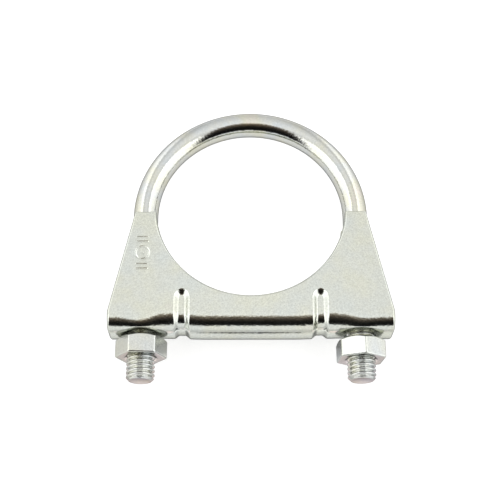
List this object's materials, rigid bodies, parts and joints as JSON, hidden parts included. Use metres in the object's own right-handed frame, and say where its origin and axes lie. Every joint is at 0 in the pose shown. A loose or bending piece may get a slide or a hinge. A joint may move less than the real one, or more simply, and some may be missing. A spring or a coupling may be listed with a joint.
{
  "type": "u-bolt",
  "caption": "Pipe clamp: a round-rod U-bolt with threaded legs, drawn through a pressed channel saddle with horned, ribbed walls by hexagon nuts.",
  "frame": {"origin": "on the axis of the clamped pipe, in the plane of the saddle's rear wall, which the clamp lies on", "axes": "+Z along the pipe axis and up from the resting face, +Y from the saddle to the crown of the U-bolt, +X from the left nut to the right nut"},
  "size_m": [0.0794, 0.0836, 0.0167],
  "materials": {
    "bolt_zinc": "bright zinc plate on drawn steel rod, semi-gloss",
    "saddle_zinc": "bright zinc plate on pressed steel sheet, semi-gloss with a faint yellow-green tint",
    "nut_left_zinc": "bright zinc plate on forged steel, semi-gloss",
    "nut_right_zinc": "bright zinc plate on forged steel, semi-gloss"
  },
  "bodies": {
    "saddle": {"saddle": "saddle_zinc"},
    "u_bolt": {"u_bolt": "bolt_zinc"},
    "nut_left": {"nut_left": "nut_left_zinc"},
    "nut_right": {"nut_right": "nut_right_zinc"}
  },
  "joints": [
    {"name": "nut_left_turn", "type": "hinge", "parent": "saddle", "child": "nut_left", "pos_m": [-0.0306, -0.04015, 0.00835], "axis": [0, 1, 0], "range_deg": [-1728, 4320]},
    {"name": "nut_right_turn", "type": "hinge", "parent": "saddle", "child": "nut_right", "pos_m": [0.0306, -0.04085, 0.00835], "axis": [0, 1, 0], "range_deg": [-1728, 4320]},
    {"name": "u_bolt_draw", "type": "slide", "parent": "saddle", "child": "u_bolt", "axis": [0, -1, 0], "range_m": [-0.006, 0.015]}
  ],
  "couplings": [
    {"joint": "nut_left_turn", "follows": "u_bolt_draw", "rad_per_m": 5026.5},
    {"joint": "nut_right_turn", "follows": "u_bolt_draw", "rad_per_m": 5026.5}
  ]
}
